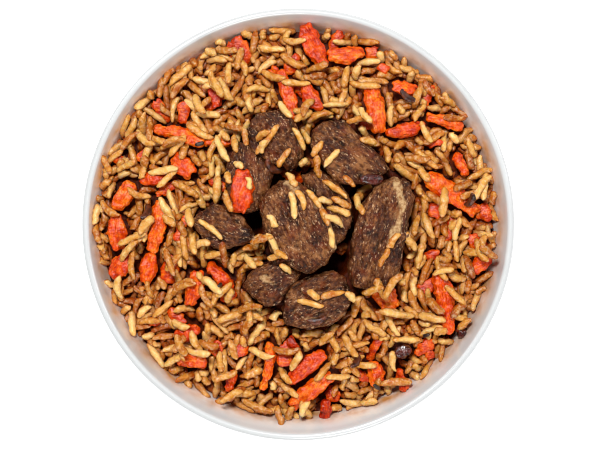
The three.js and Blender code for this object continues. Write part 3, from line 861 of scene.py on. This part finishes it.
def hewn(points, seed, cuts, depth):
    """Cuts shallow facets off a piece."""
    rng = np.random.default_rng(seed)
    centre = (points.max(0) + points.min(0)) / 2
    half = (points.max(0) - points.min(0)) / 2
    for _ in range(cuts):
        way = rng.normal(size=3)
        way[2] = abs(way[2]) * 0.9 + 0.1
        way /= np.linalg.norm(way)
        reach = (points - centre) @ way
        limit = reach.max() - depth * rng.uniform(0.4, 1) * half.min()
        points = points - np.maximum(reach - limit, 0)[:, None] * way * 0.85
    return points


def near_line(points, line):
    """How far each point is from a line of straight stretches, seen from above."""
    away = np.full(len(points), np.inf)
    for start, end in zip(np.array(line[:-1], float), np.array(line[1:], float)):
        along = end - start
        share = np.clip((points[:, :2] - start) @ along / (along @ along), 0, 1)
        away = np.minimum(away, np.linalg.norm(points[:, :2] - start - share[:, None] * along, axis=1))
    return away


def bare_top(points):
    """The upper side of a piece without the grains that lie on it."""
    top = np.full((SIDE, SIDE), -1e3)
    stamp(top, points)
    for pick in (np.minimum, np.maximum):
        for axis in (0, 1):
            steps = [np.roll(top, step, axis) for step in range(-GRAIN_CELLS, GRAIN_CELLS + 1)]
            top = pick.reduce(steps)
    return np.where(top < 0, np.inf, top + 0.2)


def beef_mesh(node, seed):
    """A piece of beef with facets, folds and pebbles, and which way its fibres run."""
    mesh = remeshed(node, node + "_work", 0.36, 1)
    points = points_of(mesh)
    axis = long_axis(points)
    points[:, 2] = np.minimum(points[:, 2], bare_top(points)[cell_of(points[:, 1]), cell_of(points[:, 0])])
    points = hewn(points, seed, 4, 0.14)
    set_points(mesh, points)
    normals = normals_of(mesh)
    local = turned_to(points, axis)
    lumps = 0.25 * lattice_noise(local / 5.0 + seed, seed)
    folds = 0.34 * ridged(local / np.array([8.0, 2.6, 2.6]) + seed, seed + 1)
    pebbles = 0.26 * ridged(local / np.array([3.4, 1.2, 1.3]), seed + 2)
    grit = 0.36 * lattice_noise(local / np.array([1.6, 0.9, 0.9]), seed + 3)
    fat = np.zeros(len(points))
    for piece, half_width, line in FAT_LINES:
        if piece == node:
            edge = near_line(points, line) + 1.1 * lattice_noise(local / np.array([3.0, 1.0, 1.0]), 80)
            fat = np.maximum(fat, np.clip((half_width - edge) / 0.8 + 0.3, 0, 1))
    fat *= np.clip(normals[:, 2] * 2, 0, 1)
    relief = lumps + folds + pebbles + grit + 0.5 * fat
    set_points(mesh, points + normals * relief[:, None])
    # Painted shade: how deep each point lies in the creases of the relief
    depth = np.clip(0.5 - (folds + 1.3 * pebbles + grit), 0, 1)
    mottle = 0.5 + 0.5 * lattice_noise(local / 4.0, seed + 4)
    tone_attribute(mesh, np.stack([depth, mottle, fat, np.ones(len(depth))], 1))
    return mesh, axis


def carrot_mesh(node, seed):
    """A carrot strip with a ragged outline and grooves, and which way it runs."""
    mesh = remeshed(node, node + "_work", 0.28, 6)
    points = points_of(mesh)
    axis = long_axis(points)
    normals = normals_of(mesh)
    local = turned_to(points, axis)
    bulges = 0.45 * lattice_noise(local / np.array([5.0, 3.0, 3.0]) + seed, seed)
    torn = 0.5 * ridged(local / np.array([3.0, 2.0, 2.0]) + seed, seed + 5)
    grooves = 0.3 * ridged(local / np.array([5.0, 1.3, 1.3]), seed + 1)
    nicks = 0.26 * lattice_noise(local / 0.9, seed + 2)
    rims = 1.5 - np.abs(normals[:, 2])
    points = points + normals * ((bulges + torn) * rims + grooves + nicks)[:, None]
    set_points(mesh, points)
    return mesh, axis


def berry_mesh(node, seed):
    """A dried berry with wrinkles."""
    mesh = remeshed(node, node + "_work", 0.22, 4)
    points = points_of(mesh)
    wrinkles = 0.4 * ridged(points / 1.6, seed) - 0.2
    set_points(mesh, points + normals_of(mesh) * wrinkles[:, None])
    return mesh


# ------------------------------------------------------------------ making

BEEF = sorted(n for n in NODES if n.startswith("beef_"))
CARROTS = sorted(n for n in NODES if n.startswith("carrot_"))
BERRIES = sorted(n for n in NODES if n.startswith("berry_"))

# Colours from dark over middle to light. Small carrot pieces are darker now and then.
CARROT_SHADES = [
    ((180, 34, 0), (234, 80, 0), (252, 134, 20)),
    ((164, 24, 0), (222, 66, 0), (244, 112, 10)),
    ((190, 44, 0), (240, 94, 0), (254, 150, 34)),
]
DARK_CARROT = ((132, 14, 0), (190, 42, 0), (228, 84, 10))
SMALL_CARROT = 8.5
CARROT_BIT_SHADE = ((160, 26, 0), (222, 70, 0), (250, 126, 16))
RICE_SHADES = [
    ("rice_pale", 0.5, (184, 96, 14), (224, 161, 70), (248, 204, 124)),
    ("rice_golden", 0.38, (168, 80, 6), (210, 141, 50), (238, 185, 98)),
    ("rice_brown", 0.12, (144, 58, 2), (190, 109, 28), (216, 147, 58)),
]


def hollows():
    """How much deeper the rice lies among the pieces of beef, and where nothing lies."""
    from_hollow = np.hypot(GRID_X - HOLLOW_AT[0], GRID_Y - HOLLOW_AT[1])
    deeper = HOLLOW_DEPTH * np.exp(-((from_hollow / HOLLOW_RADIUS) ** 4))
    empty = np.zeros((SIDE, SIDE), bool)
    for x, y, half_long, half_wide, turn in VOIDS:
        cos, sin = math.cos(math.radians(turn)), math.sin(math.radians(turn))
        along = (GRID_X - x) * cos + (GRID_Y - y) * sin
        across = (GRID_Y - y) * cos - (GRID_X - x) * sin
        empty |= (along / half_long) ** 2 + (across / half_wide) ** 2 < 1
    return deeper + VOID_DEPTH * blurred(empty.astype(float), 5), empty


def make_bowl():
    section = bowl_section()
    mesh = lathe("bowl_glazed", section, BOWL_SIDES)
    points = points_of(mesh)
    edge = core_map[cell_of(points[:, 1]), cell_of(points[:, 0])]
    # Painted shadow and bounced light from the rice, partly an oil film, fading up the inner wall
    stain_and_shade = np.clip(1 - (points[:, 2] - edge - STAIN_AND_SHADE_FROM) / STAIN_AND_SHADE_HEIGHT, 0, 1) ** 1.5
    inner_rows = np.zeros(len(section))
    inner_rows[-len(INNER_WALL) - 2 :] = 1
    stain_and_shade *= np.tile(inner_rows, BOWL_SIDES)
    # Painted shade: 0 outside and on the lip, where the glaze is painted grey, rising to 1 down the inner
    # wall
    inner_unshaded = np.tile(np.clip(np.cumsum(inner_rows) - 2, 0, 4) / 4, BOWL_SIDES)
    tone_attribute(mesh, np.stack([stain_and_shade, inner_unshaded, stain_and_shade, np.ones(len(stain_and_shade))], 1))
    new_object("bowl_glazed", mesh, glaze_material(), ["bowl"])


def make_beef():
    for seed, node in enumerate(BEEF, 3):
        mesh, axis = beef_mesh(node, seed)
        stamp(height, points_of(mesh))
        new_object(node + "_browned", mesh, beef_material(node, axis), [node])


def make_carrots():
    """Makes the carrot strips, and says how much of the ground near each place they take up."""
    before = height.copy()
    for seed, node in enumerate(CARROTS, 40):
        mesh, axis = carrot_mesh(node, seed)
        points = points_of(mesh)
        stamp(height, points)
        is_dark = np.ptp(points[:, :2] @ axis) < SMALL_CARROT and seed % 2
        shade = DARK_CARROT if is_dark else CARROT_SHADES[seed % len(CARROT_SHADES)]
        look = carrot_material(node, axis, *shade)
        new_object(node + "_cooked", mesh, look, [node])
    return blurred((height > before + 0.05).astype(float), 7)


def make_berries():
    for seed, node in enumerate(BERRIES, 90):
        mesh = berry_mesh(node, seed)
        stamp(height, points_of(mesh))
        new_object(node + "_dried", mesh, berry_material(), [node])


def laid_bits(rows, columns):
    """Small carrot bits at random places, some of them under the upper grains."""
    bits = []
    for pick in RNG.integers(len(rows), size=CARROT_BITS):
        x, y = AXIS[columns[pick]], AXIS[rows[pick]]
        long, wide, thick = (RNG.uniform(*limits) for limits in BIT_SIZES)
        yaw, slope = RNG.uniform(0, np.pi), RNG.normal(0, 0.2)
        z = target[rows[pick], columns[pick]] - RNG.uniform(*BITS_LOWER)
        cover(height, x, y, z, yaw, slope, long, wide / 2)
        bits.append((x, y, z, yaw, slope, long, wide, thick))
    return bits


def laid_grains(rows, columns, near_carrots):
    """All the grains, and which of their rows are those on the beef."""
    grains = Grains()
    fill_heap(height, grains, target, open_ground, MISSES, 1.0)
    lower = target - SHORT_GRAINS_LOWER
    fill_heap(height, grains, lower, open_ground, SHORT_MISSES, SHORT_GRAINS)
    on_beef = slice(len(grains.rows), len(grains.rows) + len(GRAINS_ON_BEEF))
    for x, y, yaw, length in GRAINS_ON_BEEF:
        grains.lay(height, x, y, math.radians(yaw), length, RNG.uniform(1.05, 1.3))
    for pick in RNG.integers(len(rows), size=LOOSE_ON_TOP):
        length, radius = grain_sizes(1)
        place = (AXIS[columns[pick]], AXIS[rows[pick]], RNG.uniform(0, np.pi))
        grains.lay(height, *place, length[0], radius[0], sink=0.5)
    at_edge = (near_carrots > 0.2) & (near_carrots < 0.6) & (GRID_R < RIM_RADIUS - 7)
    edge_rows, edge_columns = np.nonzero(at_edge)
    for pick in RNG.integers(len(edge_rows), size=OVER_CARROTS):
        length, radius = grain_sizes(1)
        place = (AXIS[edge_columns[pick]], AXIS[edge_rows[pick]], RNG.uniform(0, np.pi))
        grains.lay(height, *place, length[0], radius[0])
    for x, y, yaw, length in GRAINS_ON_WALL:
        grains.lay(height, x, y, math.radians(yaw), length, GRAIN_RADIUS)
    return np.array(grains.rows), on_beef


def make_small_pieces(bits):
    """Carrot bits, onion shreds, seeds and the berry on the beef."""
    mesh = lump_mesh("carrot_bits", bits, 0.24)
    look = carrot_material("carrot_bits", (1, 0), *CARROT_BIT_SHADE)
    new_object("carrot_bits", mesh, look, ["rice"])
    mesh = lump_mesh("onion_shreds", laid_pieces(height, ONION, 0.4), 0.1, 0.5)
    look = plain_food_material("onion", (44, 14, 6), (110, 52, 24), 0.3)
    new_object("onion_shreds", mesh, look, ["rice"])
    mesh = lump_mesh("seeds", laid_pieces(height, SEEDS, 0.2), 0.05)
    look = plain_food_material("seed", (24, 10, 6), (60, 34, 20), 0.4)
    new_object("seeds", mesh, look, ["rice"])
    mesh = lump_mesh("berry_on_beef", laid_pieces(height, BERRY_ON_BEEF, 0.3), 0.08)
    new_object("berry_on_beef", mesh, berry_material(), ["beef_top_right"])


def make_rice_under():
    """The rice below the loose grains, as one solid that fills the bowl, coloured dark with painted shade.
    """
    mesh = remeshed("rice", "rice_under", 1.2, 3)
    points = points_of(mesh)
    top = floor_map[cell_of(points[:, 1]), cell_of(points[:, 0])]
    is_upper = points[:, 2] > ROOM_ABOVE
    points[is_upper, 2] = np.minimum(points[:, 2], top)[is_upper]
    set_points(mesh, points)
    new_object("rice_under", mesh, shaded_core_material(), ["rice"])


def make_rice(rows, on_beef):
    """The grains in one mesh for each shade. Those on the beef are all pale."""
    kind = RNG.choice(len(RICE_SHADES), size=len(rows), p=[share for _, share, *_ in RICE_SHADES])
    kind[on_beef] = 0
    for number, (name, _, *colours) in enumerate(RICE_SHADES):
        mesh = grain_mesh(name, rows[kind == number])
        new_object(name, mesh, rice_material(name, *colours), ["rice"])


# Height maps: the bare core, the ground and the level that the loose grains fill, and the upper side
# of all that is laid so far
core_map = bare_core()
hollow, in_void = hollows()
floor_map = core_map - LAYERS_DEEP - hollow
target = core_map + CREST_OVER_CORE - GRAIN_RADIUS - hollow
height = np.maximum(floor_map, wall_height(GRID_R))

make_bowl()
make_beef()
near_carrots = make_carrots()
make_berries()
open_ground = (height < core_map + 1.0) & (GRID_R < RIM_RADIUS - 4) & ~in_void
free_rows, free_columns = np.nonzero(open_ground & (GRID_R < RIM_RADIUS - 8))
bits = laid_bits(free_rows, free_columns)
grain_rows, on_beef = laid_grains(free_rows, free_columns, near_carrots)
make_small_pieces(bits)
make_rice_under()
make_rice(grain_rows, on_beef)

# ------------------------------------------------------------------ floor, light and camera

# The camera looks straight down. Its distance is in metres and its sensor's width in millimetres. The
# bowl's rim radius and middle in the picture, and the picture's size, are in pixels.
CAMERA_DISTANCE = 0.8
SENSOR = 36
PICTURE_RIM = 216
PICTURE_CENTRE = (298.2, 224.2)
PICTURE_SIZE = (600, 450)

# Lights in metres and watts. The fills stand round the bowl, each at its own angle in degrees.
LIT_POINT = (0, 0, 0.05)
KEY_AT = (-0.1, 0.38, 1.15)
KEY_SIZE = 0.2
KEY_POWER = 11.8
FILLS = [(-80, 6.0), (20, 3.2), (140, 3.0)]
FILL_OUT = 0.95
FILL_UP = 0.62
FILL_SIZE = 0.5
WORLD_LIGHT = 0.09

# Half the floor's width
FLOOR_REACH = 3e3

mm_per_pixel = RIM_RADIUS / PICTURE_RIM
camera_data = bpy.data.cameras.new("camera")
camera_data.sensor_width = SENSOR
camera_data.lens = SENSOR * CAMERA_DISTANCE / (PICTURE_SIZE[0] * mm_per_pixel * MM)
camera_data.clip_end = 20
camera = bpy.data.objects.new("camera", camera_data)
camera.location = (
    (PICTURE_SIZE[0] / 2 - PICTURE_CENTRE[0]) * mm_per_pixel * MM,
    (PICTURE_CENTRE[1] - PICTURE_SIZE[1] / 2) * mm_per_pixel * MM,
    bowl_hi.z + CAMERA_DISTANCE,
)
bpy.context.scene.collection.objects.link(camera)
bpy.context.scene.camera = camera


def area_light(name, place, size, power):
    data = bpy.data.lights.new(name, "AREA")
    data.shape = "DISK"
    data.size = size
    data.energy = power
    lamp = bpy.data.objects.new(name, data)
    lamp.location = place
    lamp.rotation_euler = (Vector(LIT_POINT) - lamp.location).to_track_quat("-Z", "Y").to_euler()
    bpy.context.scene.collection.objects.link(lamp)


area_light("key", KEY_AT, KEY_SIZE, KEY_POWER)
for side, power in FILLS:
    turn = math.radians(side)
    place = (FILL_OUT * math.cos(turn), FILL_OUT * math.sin(turn), FILL_UP)
    area_light(f"fill_{side}", place, FILL_SIZE, power)

world = bpy.data.worlds.new("world")
world.use_nodes = True
world.node_tree.nodes["Background"].inputs["Color"].default_value = (1, 1, 1, 1)
world.node_tree.nodes["Background"].inputs["Strength"].default_value = WORLD_LIGHT
bpy.context.scene.world = world


def floor_material():
    """White under any light, yet throwing little light up at the bowl."""
    m = Nodes("floor")
    m.shade(Base_Color=(0.3, 0.3, 0.3, 1), Roughness=0.7, Specular_IOR_Level=0.1)
    m.shade(Emission_Color=(1, 1, 1, 1), Emission_Strength=0.86)
    return m.material


corners = [(x * FLOOR_REACH, y * FLOOR_REACH, 0) for x, y in ((-1, -1), (1, -1), (1, 1), (-1, 1))]
floor_mesh = mesh_of("floor", corners, [0, 1, 2, 3], [4])
floor = bpy.data.objects.new("floor", floor_mesh)
floor_mesh.materials.append(floor_material())
bpy.context.scene.collection.objects.link(floor)

bpy.context.scene.view_settings.view_transform = "Standard"
bpy.context.scene.cycles.filter_width = 1.1
